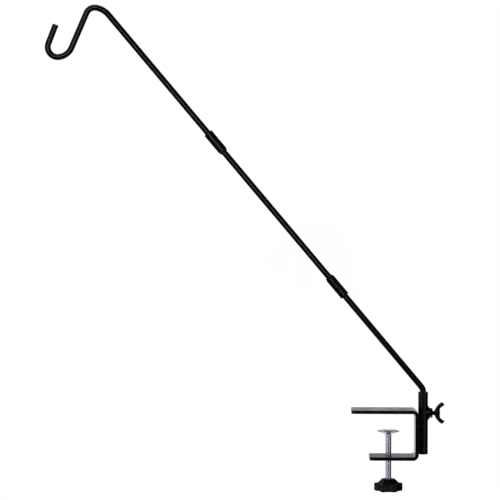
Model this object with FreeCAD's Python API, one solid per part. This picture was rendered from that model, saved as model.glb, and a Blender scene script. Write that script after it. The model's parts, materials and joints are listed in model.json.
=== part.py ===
import FreeCAD, Part
import math
import os

from FreeCAD import Vector

# Deck rail hook: a C clamp with a plated spindle, an upright sleeve on its back, and a leaning pole
# in three rods that ends in a hook. Millimetres, +Z up, +X towards the sleeve, Y across the clamp.
# The origin is on the underside of the top jaw, where the rail touches it, on the spindle's axis.

# Clamp bracket: one steel flat, bent twice
STRIP_WIDTH = 40.0
STRIP_THICKNESS = 4.5
JAW_GAP = 56.0
THROAT = 34.0
TOP_JAW_REACH = 48.5
BOTTOM_JAW_REACH = 25.0
BEND_RADIUS = 3.0
JAW_CORNER_RADIUS = 5.0
EDGE_ROUND = 0.5

# Pole: solid steel rod
ROD_DIAMETER = 8.0
LEAN_ANGLE = 40.1
ELBOW_RADIUS = 10.5
LOWER_RUN = 157.8
MIDDLE_RUN = 216.4
UPPER_RUN = 200.1
ROD_END_CHAMFER = 0.6

# Threaded couplers between the rods, each welded on the middle rod
COUPLER_DIAMETER = 12.0
COUPLER_LENGTH = 30.0
THREAD_ENGAGEMENT = 16.0
ROD_END_GAP = 1.0
COUPLER_CHAMFER = 0.4
COUPLER_WELD_LENGTH = 3.2
WELD_TOE = 0.4

# Hook at the pole's end: each of its two bends starts wide and ends tight
APEX_LEAD_RADIUS = 28.0
APEX_LEAD_TURN = 37.0
APEX_RADIUS = 12.0
SHANK_ANGLE = 23.6
SHANK_LENGTH = 48.6
HOOK_LEAD_RADIUS = 20.5
HOOK_LEAD_TURN = 60.0
HOOK_RADIUS = 13.1
HOOK_TIP_ANGLE = 21.6
HOOK_TIP_LENGTH = 26.0

# Sleeve on the clamp's back
SLEEVE_DIAMETER = 12.7
SLEEVE_LENGTH = 81.0
SLEEVE_RISE = 27.0
FOOT_INSET = 2.0
SLEEVE_WELD_ROOT = 2.2
SLEEVE_WELD_TOE = 6.8
SLEEVE_WELD_TURN = 62.0
SLEEVE_WELD_INSET = 2.5

# Wing screw that holds the pole in the sleeve
SET_SCREW_Z = -0.5
STUD_DIAMETER = 6.0
STUD_CHAMFER = 0.6
NUT_ACROSS_FLATS = 11.0
NUT_HEIGHT = 5.8
NUT_WELD_LEG = 4.2
NUT_WELD_HEIGHT = 2.8
NUT_WELD_WIDTH = 8.4
WING_STANDOFF = 3.4
WING_SPAN = 28.6
WING_LENGTH = 12.7
WING_HUB_WALL = 0.7
WING_WEB_LENGTH = 6.4
WING_WEB_SPAN = 11.8
WING_ARM_WIDTH = 5.2
WING_ARM_ANGLE = 44.0
WING_BACK_BOW = 1.6
WING_FRONT_BOW = 0.4
WING_THICKNESS = 4.6
STUD_SEAT = 5.0

# Clamp spindle with its pad
SPINDLE_DIAMETER = 8.0
SPINDLE_RUN = 57.0
PAD_DROP = 23.8
PAD_DIAMETER = 28.6
PAD_HEIGHT = 5.7
PAD_LIP = 0.9
PAD_FACE_WIDTH = 3.0
PAD_WELL_DIAMETER = 11.4
PAD_WELL_DEPTH = 2.9
PAD_DISH_DEPTH = 0.6
PAD_FOOT_WALL = 0.7
PAD_FLARE_BOW = 0.5
SPINDLE_NECK_DIAMETER = 5.8
RIVET_DIAMETER = 8.4
RIVET_HEIGHT = 0.8
RIVET_EDGE = 0.3

# Star knob
KNOB_DIAMETER = 37.0
KNOB_LOBES = 6
KNOB_LOBE_RADIUS = 5.2
KNOB_VALLEY_RADIUS = 6.0
KNOB_HEIGHT = 10.6
KNOB_ROUND = 1.6
KNOB_HUB_BASE_DIAMETER = 26.0
KNOB_HUB_TOP_DIAMETER = 17.0
KNOB_HUB_HEIGHT = 5.2
INSERT_ACROSS_FLATS = 12.0
INSERT_LENGTH = 9.0
INSERT_SINK = 1.5

# Fits
SLEEVE_CLEARANCE = 0.25
THREAD_CLEARANCE = 0.06
STUD_TIP_GAP = 0.3
STUD_HOLE_CLEARANCE = 0.3
PAD_CLEARANCE = 0.08
MOULDED_CLEARANCE = 0.02

# Radii and places that follow from the sizes above
rod_radius = ROD_DIAMETER / 2
sleeve_radius = SLEEVE_DIAMETER / 2
coupler_radius = COUPLER_DIAMETER / 2
stud_radius = STUD_DIAMETER / 2
spindle_radius = SPINDLE_DIAMETER / 2
back_outer_x = THROAT + STRIP_THICKNESS
sleeve_x = back_outer_x + sleeve_radius
sleeve_bottom_z = SLEEVE_RISE - SLEEVE_LENGTH
nut_face_x = sleeve_x + sleeve_radius + NUT_HEIGHT
wing_base_x = nut_face_x + WING_STANDOFF
pad_shoulder_z = -PAD_DROP - PAD_HEIGHT
hub_top_z = pad_shoulder_z - SPINDLE_RUN
insert_top_z = hub_top_z - INSERT_SINK
insert_bottom_z = insert_top_z - INSERT_LENGTH

# Points closer than this are one point
SAME_PLACE = 1e-6

X_AXIS = Vector(1, 0, 0)
Y_AXIS = Vector(0, 1, 0)
Z_AXIS = Vector(0, 0, 1)


def leaning(angle):
    """The direction that leans this many degrees from upright towards the hook's side."""
    return Vector(-math.sin(math.radians(angle)), 0, math.cos(math.radians(angle)))


def bend_reach(radius, turn):
    """How far a bend through this many degrees starts from the corner that it rounds."""
    return radius * math.tan(math.radians(abs(turn)) / 2)


pole_direction = leaning(LEAN_ANGLE)
elbow_corner = Vector(sleeve_x, 0, SLEEVE_RISE + bend_reach(ELBOW_RADIUS, LEAN_ANGLE))

# Distances along the leaning pole, counted from the elbow's corner
lower_coupler_start = LOWER_RUN
lower_coupler_end = lower_coupler_start + COUPLER_LENGTH
upper_coupler_start = lower_coupler_end + MIDDLE_RUN
upper_coupler_end = upper_coupler_start + COUPLER_LENGTH
middle_rod_depth = COUPLER_LENGTH - THREAD_ENGAGEMENT - ROD_END_GAP


def along_pole(distance):
    """The point on the leaning pole's centre line at this distance from the elbow's corner."""
    return elbow_corner + pole_direction * distance


def rounded_wire(points, radii, closed=False):
    """Straight runs through the points, each corner rounded by its own radius, or sharp at 0."""
    corners = []
    for i, corner in enumerate(points):
        if radii[i] == 0:
            corners.append((corner, None, corner))
            continue
        back = (points[i - 1] - corner).normalize()
        ahead = (points[(i + 1) % len(points)] - corner).normalize()
        half_angle = back.getAngle(ahead) / 2
        reach = radii[i] / math.tan(half_angle)
        inward = (back + ahead).normalize()
        middle = corner + inward * (radii[i] / math.sin(half_angle) - radii[i])
        corners.append((corner + back * reach, middle, corner + ahead * reach))
    edges = []
    for i, (enter, middle, leave) in enumerate(corners):
        if middle is not None:
            edges.append(Part.Arc(enter, middle, leave).toShape())
        following = corners[(i + 1) % len(corners)][0]
        if (closed or i + 1 < len(corners)) and leave.distanceToPoint(following) > SAME_PLACE:
            edges.append(Part.makeLine(leave, following))
    return Part.Wire(edges)


def cylinder(radius, start, end):
    """A round bar from one point to another."""
    return Part.makeCylinder(radius, start.distanceToPoint(end), start, end - start)


def cone(start_radius, end_radius, start, end):
    """A tapered bar from one point to another."""
    return Part.makeCone(start_radius, end_radius, start.distanceToPoint(end), start, end - start)


def bent_rod(points, bend_radii):
    """The pole's rod, swept along runs and bends, with both ends chamfered."""
    path = rounded_wire(points, bend_radii)
    section = Part.Wire(Part.makeCircle(rod_radius, points[0], points[1] - points[0]))
    bar = path.makePipeShell([section], True, False)
    rims = [e for e in bar.Edges if at_rod_end(e, points[0]) or at_rod_end(e, points[-1])]
    return bar.makeChamfer(ROD_END_CHAMFER, rims)


def at_rod_end(edge, end):
    """Whether an edge is the round rim of a rod at this end."""
    return edge.Closed and edge.CenterOfMass.distanceToPoint(end) < ROD_END_CHAMFER


def hexagon(across_flats, start, end, corner_direction):
    """A hexagonal bar from one point to another, with a corner towards the given direction."""
    axis = (end - start).normalize()
    sideways = axis.cross(corner_direction)
    corner_radius = across_flats / math.sqrt(3)
    points = []
    for k in range(6):
        turn = math.radians(60 * k)
        points.append(start + (corner_direction * math.cos(turn) + sideways * math.sin(turn)) * corner_radius)
    return Part.Face(Part.makePolygon(points + points[:1])).extrude(end - start)


def turned(profile):
    """A solid turned about Z from a closed outline of (radius, z) points and ((r, z), ...) arcs."""
    edges = []
    for i, step in enumerate(profile):
        start = profile[i - 1][-1]
        if len(step) == 2:
            edges.append(Part.Arc(ring_point(start), ring_point(step[0]), ring_point(step[1])).toShape())
        else:
            edges.append(Part.makeLine(ring_point(start), ring_point(step[0])))
    return Part.Face(Part.Wire(edges)).revolve(Vector(0, 0, 0), Z_AXIS, 360)


def ring_point(pair):
    """A (radius, z) pair as a point of the XZ plane."""
    return Vector(pair[0], 0, pair[1])


def clamp_bracket():
    """The C: longer top jaw, back and shorter bottom jaw, with a tapped hole for the spindle."""
    bottom_z = -JAW_GAP
    outer_bend = BEND_RADIUS + STRIP_THICKNESS
    outline = [
        (-TOP_JAW_REACH, STRIP_THICKNESS, 0),
        (back_outer_x, STRIP_THICKNESS, outer_bend),
        (back_outer_x, bottom_z - STRIP_THICKNESS, outer_bend),
        (-BOTTOM_JAW_REACH, bottom_z - STRIP_THICKNESS, 0),
        (-BOTTOM_JAW_REACH, bottom_z, 0),
        (THROAT, bottom_z, BEND_RADIUS),
        (THROAT, 0, BEND_RADIUS),
        (-TOP_JAW_REACH, 0, 0),
    ]
    points = [Vector(x, -STRIP_WIDTH / 2, z) for x, z, _ in outline]
    side = rounded_wire(points, [r for _, _, r in outline], closed=True)
    strip = Part.Face(side).extrude(Y_AXIS * STRIP_WIDTH)
    corners = [e for e in strip.Edges if is_upright(e) and e.CenterOfMass.x < 0]
    strip = strip.makeFillet(JAW_CORNER_RADIUS, corners)
    strip = strip.makeFillet(EDGE_ROUND, [e for e in strip.Edges if on_strip_rim(e)])
    hole_top = Vector(0, 0, bottom_z + STRIP_THICKNESS)
    hole_end = Vector(0, 0, bottom_z - 2 * STRIP_THICKNESS)
    return strip.cut(cylinder(spindle_radius + THREAD_CLEARANCE, hole_top, hole_end))


def is_upright(edge):
    """Whether an edge is a straight one along Z."""
    box = edge.BoundBox
    return box.XLength < SAME_PLACE and box.YLength < SAME_PLACE


def on_strip_rim(edge):
    """Whether an edge lies on one of the strip's two cut sides, where the flat was sheared."""
    box = edge.BoundBox
    return box.YLength < SAME_PLACE and abs(abs(box.YMin) - STRIP_WIDTH / 2) < SAME_PLACE


def sleeve_tube():
    """The upright tube that takes the pole's foot, with a side hole for the wing screw."""
    bottom = Vector(sleeve_x, 0, sleeve_bottom_z)
    top = Vector(sleeve_x, 0, SLEEVE_RISE)
    tube = cylinder(sleeve_radius, bottom, top).cut(cylinder(rod_radius + SLEEVE_CLEARANCE, bottom, top))
    hole_start = Vector(sleeve_x, 0, SET_SCREW_Z)
    hole_end = hole_start + X_AXIS * SLEEVE_DIAMETER
    return tube.cut(cylinder(stud_radius + STUD_HOLE_CLEARANCE, hole_start, hole_end))


def sleeve_weld(side):
    """The fillet bead along one side of the sleeve, in the groove between tube and clamp."""
    top_z = -BEND_RADIUS - SLEEVE_WELD_INSET
    bottom_z = sleeve_bottom_z + SLEEVE_WELD_INSET
    turn = math.radians(SLEEVE_WELD_TURN)
    tube_toe_x = sleeve_x - sleeve_radius * math.cos(turn)
    outline = [
        Vector(back_outer_x, side * SLEEVE_WELD_ROOT, bottom_z),
        Vector(back_outer_x, side * SLEEVE_WELD_TOE, bottom_z),
        Vector(tube_toe_x, side * sleeve_radius * math.sin(turn), bottom_z),
        Vector(tube_toe_x, side * SLEEVE_WELD_ROOT, bottom_z),
    ]
    bead = Part.Face(Part.makePolygon(outline + outline[:1])).extrude(Z_AXIS * (top_z - bottom_z))
    return bead.cut(sleeve_bar())


def sleeve_bar():
    """A solid bar of the sleeve's outer size, longer than the sleeve, to fit other pieces on it."""
    bottom = Vector(sleeve_x, 0, sleeve_bottom_z - SLEEVE_DIAMETER)
    top = Vector(sleeve_x, 0, SLEEVE_RISE + SLEEVE_DIAMETER)
    return cylinder(sleeve_radius, bottom, top)


def nut_bar():
    """The hexagon of the weld nut, from the sleeve's axis out to the nut's face."""
    start = Vector(sleeve_x, 0, SET_SCREW_Z)
    return hexagon(NUT_ACROSS_FLATS, start, Vector(nut_face_x, 0, SET_SCREW_Z), Z_AXIS)


def set_screw_nut():
    """The hex weld nut, shaped to the tube at its inner end."""
    start = Vector(sleeve_x, 0, SET_SCREW_Z)
    bore = cylinder(stud_radius + THREAD_CLEARANCE, start, Vector(nut_face_x, 0, SET_SCREW_Z))
    return nut_bar().cut(sleeve_bar()).cut(bore)


def nut_weld():
    """The beads above and below the nut, run out on the tube."""
    corner_radius = NUT_ACROSS_FLATS / math.sqrt(3)
    start = Vector(sleeve_x, 0, SET_SCREW_Z)
    tube_face = start + X_AXIS * sleeve_radius
    crest = tube_face + X_AXIS * NUT_WELD_HEIGHT
    foot = cylinder(corner_radius + NUT_WELD_LEG, start, tube_face)
    bead = foot.fuse(cone(corner_radius + NUT_WELD_LEG, corner_radius + WELD_TOE, tube_face, crest))
    slab_corner = Vector(sleeve_x, -NUT_WELD_WIDTH / 2, SET_SCREW_Z - SLEEVE_LENGTH)
    slab = Part.makeBox(SLEEVE_DIAMETER + NUT_HEIGHT, NUT_WELD_WIDTH, 2 * SLEEVE_LENGTH, slab_corner)
    return bead.common(slab).cut(sleeve_bar()).cut(nut_bar())


def wing_stud():
    """The wing screw's threaded stud, from just off the pole to its seat in the wings."""
    tip = Vector(sleeve_x + rod_radius + STUD_TIP_GAP, 0, SET_SCREW_Z)
    end = Vector(wing_base_x + STUD_SEAT, 0, SET_SCREW_Z)
    stud = cylinder(stud_radius, tip, end)
    tip_rim = [e for e in stud.Edges if e.Closed and e.CenterOfMass.x < tip.x + STUD_CHAMFER]
    return stud.makeChamfer(STUD_CHAMFER, tip_rim)


def wing_head():
    """The two wings, a flat Y on a round hub that holds the stud."""
    hub_radius = stud_radius + THREAD_CLEARANCE + WING_HUB_WALL
    arm = math.radians(WING_ARM_ANGLE)
    arm_side = Vector(-math.sin(arm), 0, math.cos(arm))
    tip_outer = Vector(WING_LENGTH - WING_ARM_WIDTH * math.sin(arm), 0, WING_SPAN / 2)
    tip_inner = tip_outer - arm_side * WING_ARM_WIDTH
    web_corner = Vector(WING_WEB_LENGTH, 0, WING_WEB_SPAN / 2)
    root = Vector(0, 0, hub_radius)
    back_middle = (root + tip_outer) * 0.5 + arm_side * WING_BACK_BOW
    front_middle = (web_corner + tip_inner) * 0.5 + arm_side * WING_FRONT_BOW
    half = [(root, back_middle, tip_outer), (tip_outer, tip_inner), (tip_inner, front_middle, web_corner)]
    edges = [wing_edge(step, 1) for step in half] + [wing_edge(step, -1) for step in half]
    edges.append(Part.makeLine(wing_place(web_corner, 1), wing_place(web_corner, -1)))
    edges.append(Part.makeLine(wing_place(root, 1), wing_place(root, -1)))
    outline = Part.Wire(Part.__sortEdges__(edges))
    wings = Part.Face(outline).extrude(Y_AXIS * WING_THICKNESS)
    wings.translate(Y_AXIS * (-WING_THICKNESS / 2))
    base = Vector(wing_base_x, 0, SET_SCREW_Z)
    hub = cylinder(hub_radius, base, base + X_AXIS * WING_WEB_LENGTH)
    seat = cylinder(stud_radius + THREAD_CLEARANCE, base, base + X_AXIS * STUD_SEAT)
    return wings.fuse(hub).removeSplitter().cut(seat)


def wing_place(point, side):
    """A point of the wings' outline in the part's frame, on the upper (1) or lower (-1) side."""
    return Vector(wing_base_x + point.x, 0, SET_SCREW_Z + side * point.z)


def wing_edge(step, side):
    """One edge of the wings' outline: an arc for three points, a line for two."""
    places = [wing_place(point, side) for point in step]
    return Part.Arc(*places).toShape() if len(places) == 3 else Part.makeLine(*places)


def clamp_spindle():
    """The threaded spindle: knob end, shank, neck through the pad and upset head."""
    neck_radius = SPINDLE_NECK_DIAMETER / 2
    rivet_radius = RIVET_DIAMETER / 2
    well_floor_z = -PAD_DROP - PAD_WELL_DEPTH + PAD_CLEARANCE
    dome_z = well_floor_z + RIVET_EDGE
    dome_out, dome_up = dome_point(rivet_radius, RIVET_HEIGHT - RIVET_EDGE)
    shoulder_z = pad_shoulder_z - PAD_CLEARANCE
    return turned([
        ((0, insert_bottom_z),),
        ((spindle_radius, insert_bottom_z),),
        ((spindle_radius, shoulder_z),),
        ((neck_radius, shoulder_z),),
        ((neck_radius, well_floor_z),),
        ((rivet_radius, well_floor_z),),
        ((rivet_radius, dome_z),),
        ((dome_out, dome_z + dome_up), (0, well_floor_z + RIVET_HEIGHT)),
    ])


def dome_point(radius, height):
    """How far out and up the middle of a round dome's side lies, from the centre of its base."""
    sphere_radius = (radius ** 2 + height ** 2) / (2 * height)
    out = radius / 2
    return out, height - sphere_radius + math.sqrt(sphere_radius ** 2 - out ** 2)


def pressure_pad():
    """The flared dish that bears on the rail's underside, riveted on the spindle's neck."""
    rim_radius = PAD_DIAMETER / 2
    well_radius = PAD_WELL_DIAMETER / 2
    foot_radius = spindle_radius + PAD_FOOT_WALL
    bore_radius = SPINDLE_NECK_DIAMETER / 2 + PAD_CLEARANCE
    face_z = -PAD_DROP
    floor_z = face_z - PAD_WELL_DEPTH
    lip_z = face_z - PAD_LIP
    flare_middle_radius = (rim_radius + foot_radius) / 2
    flare_middle_z = (lip_z + pad_shoulder_z) / 2 + PAD_FLARE_BOW
    return turned([
        ((rim_radius - PAD_FACE_WIDTH, face_z),),
        ((rim_radius, face_z),),
        ((rim_radius, lip_z),),
        ((flare_middle_radius, flare_middle_z), (foot_radius, pad_shoulder_z)),
        ((bore_radius, pad_shoulder_z),),
        ((bore_radius, floor_z),),
        ((well_radius, floor_z),),
        ((well_radius, face_z - PAD_DISH_DEPTH),),
    ])


def star_outline(z):
    """The knob's star: lobes and valleys as arcs that run into each other."""
    step = 2 * math.pi / KNOB_LOBES
    lobe_ring = KNOB_DIAMETER / 2 - KNOB_LOBE_RADIUS
    reach = KNOB_LOBE_RADIUS + KNOB_VALLEY_RADIUS
    across = lobe_ring * math.sin(step / 2)
    valley_ring = lobe_ring * math.cos(step / 2) + math.sqrt(reach ** 2 - across ** 2)
    edges = []
    for k in range(KNOB_LOBES):
        centre = polar(lobe_ring, k * step, z)
        before = polar(valley_ring, (k - 0.5) * step, z)
        after = polar(valley_ring, (k + 0.5) * step, z)
        following = polar(lobe_ring, (k + 1) * step, z)
        enter = centre + (before - centre) * (KNOB_LOBE_RADIUS / reach)
        leave = centre + (after - centre) * (KNOB_LOBE_RADIUS / reach)
        rejoin = following + (after - following) * (KNOB_LOBE_RADIUS / reach)
        edges.append(Part.Arc(enter, polar(KNOB_DIAMETER / 2, k * step, z), leave).toShape())
        bottom = polar(valley_ring - KNOB_VALLEY_RADIUS, (k + 0.5) * step, z)
        edges.append(Part.Arc(leave, bottom, rejoin).toShape())
    return Part.Wire(edges)


def polar(radius, turn, z):
    """A point on a circle about the spindle's axis."""
    return Vector(radius * math.cos(turn), radius * math.sin(turn), z)


def star_knob():
    """The moulded star knob: lobed rim, raised hub and a hexagonal pocket for its insert."""
    lobe_top_z = hub_top_z - KNOB_HUB_HEIGHT
    star = Part.Face(star_outline(lobe_top_z - KNOB_HEIGHT)).extrude(Z_AXIS * KNOB_HEIGHT)
    star = star.makeFillet(KNOB_ROUND, [e for e in star.Edges if e.BoundBox.ZLength < SAME_PLACE])
    hub_base = Vector(0, 0, lobe_top_z - KNOB_ROUND)
    hub = cone(KNOB_HUB_BASE_DIAMETER / 2, KNOB_HUB_TOP_DIAMETER / 2, hub_base, Vector(0, 0, hub_top_z))
    pocket_flats = INSERT_ACROSS_FLATS + 2 * MOULDED_CLEARANCE
    pocket = hexagon(pocket_flats, Vector(0, 0, insert_bottom_z), Vector(0, 0, hub_top_z), X_AXIS)
    return star.fuse(hub).removeSplitter().cut(pocket)


def knob_insert():
    """The threaded hex bush in the knob, which holds the spindle's end."""
    bottom = Vector(0, 0, insert_bottom_z)
    top = Vector(0, 0, insert_top_z)
    bush = hexagon(INSERT_ACROSS_FLATS, bottom, top, X_AXIS)
    return bush.cut(cylinder(spindle_radius + MOULDED_CLEARANCE, bottom, top))


def lower_pole():
    """The rod in the sleeve, with the elbow that leans it out and its upper end in the lower coupler."""
    foot = Vector(sleeve_x, 0, sleeve_bottom_z + FOOT_INSET)
    end = along_pole(lower_coupler_start + THREAD_ENGAGEMENT)
    return bent_rod([foot, elbow_corner, end], [0, ELBOW_RADIUS, 0])


def middle_pole():
    """The straight rod that carries both couplers."""
    start = along_pole(lower_coupler_end - middle_rod_depth)
    end = along_pole(upper_coupler_start + middle_rod_depth)
    return bent_rod([start, end], [0, 0])


def hook_pole():
    """The rod from the upper coupler over the apex, down the shank and round the hook to its tip."""
    apex_turn = 180 - SHANK_ANGLE - LEAN_ANGLE
    hook_turn = 180 - SHANK_ANGLE + HOOK_TIP_ANGLE
    bends = [
        (THREAD_ENGAGEMENT + UPPER_RUN, APEX_LEAD_RADIUS, APEX_LEAD_TURN),
        (0, APEX_RADIUS, apex_turn - APEX_LEAD_TURN),
        (SHANK_LENGTH, HOOK_LEAD_RADIUS, -HOOK_LEAD_TURN),
        (0, HOOK_RADIUS, HOOK_LEAD_TURN - hook_turn),
    ]
    place = along_pole(upper_coupler_end - THREAD_ENGAGEMENT)
    angle = LEAN_ANGLE
    points, radii = [place], [0]
    for run, radius, turn in bends:
        reach = bend_reach(radius, turn)
        corner = place + leaning(angle) * (run + reach)
        angle += turn
        place = corner + leaning(angle) * reach
        points.append(corner)
        radii.append(radius)
    return bent_rod(points + [place + leaning(angle) * HOOK_TIP_LENGTH], radii + [0])


def coupler(start_distance):
    """A threaded coupler: a tube bored for the rods that meet in it."""
    start = along_pole(start_distance)
    end = along_pole(start_distance + COUPLER_LENGTH)
    body = cylinder(coupler_radius, start, end)
    body = body.makeChamfer(COUPLER_CHAMFER, [e for e in body.Edges if e.Closed])
    return body.cut(cylinder(rod_radius + THREAD_CLEARANCE, start, end))


def coupler_weld(face_distance, direction):
    """The bead that fairs a coupler's welded end down to the middle rod."""
    face = along_pole(face_distance)
    toe = face + pole_direction * (direction * COUPLER_WELD_LENGTH)
    bead = cone(coupler_radius - COUPLER_CHAMFER, rod_radius + WELD_TOE, face, toe)
    return bead.cut(cylinder(rod_radius + THREAD_CLEARANCE, face, toe))


PIECES = {
    "clamp_bracket": clamp_bracket(),
    "sleeve_tube": sleeve_tube(),
    "sleeve_weld_front": sleeve_weld(-1),
    "sleeve_weld_rear": sleeve_weld(1),
    "set_screw_nut": set_screw_nut(),
    "nut_weld": nut_weld(),
    "wing_stud": wing_stud(),
    "wing_head": wing_head(),
    "clamp_spindle": clamp_spindle(),
    "pressure_pad": pressure_pad(),
    "star_knob": star_knob(),
    "knob_insert": knob_insert(),
    "lower_pole": lower_pole(),
    "lower_coupler": coupler(lower_coupler_start),
    "lower_coupler_weld": coupler_weld(lower_coupler_end, 1),
    "middle_pole": middle_pole(),
    "upper_coupler_weld": coupler_weld(upper_coupler_start, -1),
    "upper_coupler": coupler(upper_coupler_start),
    "hook_pole": hook_pole(),
}

os.makedirs("parts", exist_ok=True)
for name, shape in PIECES.items():
    shape.exportStep("parts/" + name + ".step")
    print(name, "solids", len(shape.Solids), "volume", round(shape.Volume, 2), "valid", shape.isValid())
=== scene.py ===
import json
import math

import bpy
from bpy.props import FloatProperty, FloatVectorProperty, IntProperty, PointerProperty
from mathutils import Matrix, Quaternion, Vector


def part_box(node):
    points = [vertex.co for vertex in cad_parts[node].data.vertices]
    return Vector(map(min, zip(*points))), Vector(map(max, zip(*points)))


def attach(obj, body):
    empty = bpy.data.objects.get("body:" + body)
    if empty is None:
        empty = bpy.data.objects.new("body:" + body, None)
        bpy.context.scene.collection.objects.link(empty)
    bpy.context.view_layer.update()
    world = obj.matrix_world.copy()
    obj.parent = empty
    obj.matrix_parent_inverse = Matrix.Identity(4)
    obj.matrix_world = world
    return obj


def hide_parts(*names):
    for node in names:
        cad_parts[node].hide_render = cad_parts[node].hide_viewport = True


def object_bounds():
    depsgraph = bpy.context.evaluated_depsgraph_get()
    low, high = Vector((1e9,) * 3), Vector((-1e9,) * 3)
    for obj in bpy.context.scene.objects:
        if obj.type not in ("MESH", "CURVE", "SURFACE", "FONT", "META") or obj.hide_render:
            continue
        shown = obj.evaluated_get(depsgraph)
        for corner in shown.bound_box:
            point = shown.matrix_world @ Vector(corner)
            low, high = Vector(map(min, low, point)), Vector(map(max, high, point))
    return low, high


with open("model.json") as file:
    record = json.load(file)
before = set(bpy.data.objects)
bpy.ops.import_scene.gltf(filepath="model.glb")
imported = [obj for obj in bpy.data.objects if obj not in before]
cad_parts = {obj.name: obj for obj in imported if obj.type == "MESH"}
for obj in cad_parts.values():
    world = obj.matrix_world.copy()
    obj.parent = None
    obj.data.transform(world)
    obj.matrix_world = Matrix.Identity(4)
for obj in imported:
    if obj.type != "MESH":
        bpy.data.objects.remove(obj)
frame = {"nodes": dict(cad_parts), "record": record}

bl_info = {
    "name": "Deck rail hook",
    "version": (1, 0, 0),
    "blender": (4, 5, 0),
    "location": "View3D > Sidebar > Rail Hook",
    "description": "Dresses a clamp-on deck rail hook with threads, weld beads, finishes and a studio",
    "category": "Object",
}

MM = 0.001
CAD_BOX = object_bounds()

# Points closer than this are one point
SAME_PLACE = 1e-6

# Rolled and plated metric thread: depth, and flats at root and crest, as shares of the pitch
THREAD_DEPTH = 0.5
ROOT_FLAT = 0.2
CREST_FLAT = 0.28
THREAD_STEPS = 48
LATHE_STEPS = 96

# The floor is a strip that reaches far back, and ends before the dark room in front and at the sides
FLOOR_REACH = 30
FLOOR_FRONT = 0.1
FLOOR_LEFT = 0.5
FLOOR_RIGHT = 0.3

# Share of the floor that is plain white to the camera, to metal and through glass, and its strength.
# The rest is paint, which keeps the shadow.
FLOOR_WHITE_SHARE = 0.7
FLOOR_WHITE = 1.03

# What the studio shows to each side, in degrees to the right of the way to the camera: the white
# backdrop behind, a black flag on the right, and a soft box on each side of the dark room in front
ROOM_TONES = (
    (-180, "#FAFBFF"), (-160, "#E4E4F2"), (-150, "#26272B"), (-112, "#26272B"), (-98, "#FFFFFF"),
    (-24, "#FFFFFF"), (-14, "#101012"), (14, "#101012"), (20, "#FFFFFF"), (56, "#FFFFFF"),
    (63, "#0C0C0E"), (160, "#0C0C0E"), (170, "#FAFBFF"), (180, "#FAFBFF"))
DARK_ROOM = "#101012"

# A dark lane runs from the camera over the right, square to this way, and the rods mirror it
LANE_SIDE = (-0.68, 0, 0.73)

# Zones of the room: the measure that bounds each one on the unit sphere, where the zone begins, and
# where it is full
ROOM_ZONES = {
    "soft_boxes": ("height", 0.42, 0.26),
    "behind": ("y", 0.15, 0.45),
    "over_backdrop": ("z", 0.13, 0.15),
    "under_back_wall": ("z", 0.34, 0.26),
    "over_soft_boxes": ("z", 0.1, 0.18),
    "under_ceiling": ("z", 0.62, 0.5),
    "off_lane": ("lane", 0.16, 0.3),
    "ceiling": ("z", 0.55, 0.7),
    "left": ("x", -0.05, -0.2),
}

# What lies over that, one on the other, each with the zones that it needs: a dark gap between the
# backdrop and the back wall, grey upper walls but for the lane, and a ceiling that is pale on the left
ROOM_LAYERS = (
    ("#3C3E5C", ("over_backdrop", "under_back_wall", "behind")),
    ("#9496A0", ("over_soft_boxes", "under_ceiling", "off_lane")),
    ("#E9E9F6", ("ceiling", "left")),
)

# A large square soft box hangs high above
TOP_BOX_PLACE = Vector((-0.6, -0.3, 3.2))
TOP_BOX_SIDE = 2.0
TOP_BOX_WATTS = 45

# Strip boxes stand in a row left of the camera, from its lower to its upper end, lean as the pole
# does, and have a grid that narrows their beam
STRIP_ENDS = Vector((-0.05, -2.5, -0.03)), Vector((-0.78, -2.5, 0.84))
STRIP_BOXES = 4
STRIP_WIDTH = 0.22
STRIP_LEAN = math.radians(40)
STRIP_BEAM = math.radians(16)
STRIP_WATTS = 0.05


def srgb(hex_colour):
    """An sRGB hex colour as linear red, green and blue."""
    channels = [int(hex_colour[i:i + 2], 16) / 255 for i in (1, 3, 5)]
    return [c / 12.92 if c <= 0.04045 else ((c + 0.055) / 1.055) ** 2.4 for c in channels]


class RailHookSizes(bpy.types.PropertyGroup):
    """Sizes of the modelled pieces that a maker would change."""
    spindle_pitch: FloatProperty(
        name="Spindle pitch", description="Pitch of the clamp spindle's thread",
        default=1.25 * MM, unit="LENGTH", precision=5)
    stud_pitch: FloatProperty(
        name="Wing screw pitch", description="Pitch of the wing screw's thread",
        default=1.0 * MM, unit="LENGTH", precision=5)
    knob_lobes: IntProperty(
        name="Knob lobes", description="Lobes round the star knob", default=6, min=3)
    knob_lobe_radius: FloatProperty(
        name="Lobe radius", description="Radius of each lobe of the star knob",
        default=5.2 * MM, unit="LENGTH", precision=5)
    knob_valley_radius: FloatProperty(
        name="Valley radius", description="Radius of the finger valleys between the lobes",
        default=6.0 * MM, unit="LENGTH", precision=5)
    knob_round: FloatProperty(
        name="Knob rounding", description="Rounding of the star knob's rim",
        default=1.9 * MM, unit="LENGTH", precision=5)
    wing_thickness: FloatProperty(
        name="Wing thickness", description="Thickness of the wing screw's arms",
        default=4.6 * MM, unit="LENGTH", precision=5)
    wing_round: FloatProperty(
        name="Wing rounding", description="Rounding of the wing screw's edges",
        default=1.0 * MM, unit="LENGTH", precision=5)
    ripple_spacing: FloatProperty(
        name="Weld ripple spacing", description="From one ripple of a weld bead to the next",
        default=1.6 * MM, unit="LENGTH", precision=5)


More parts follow.
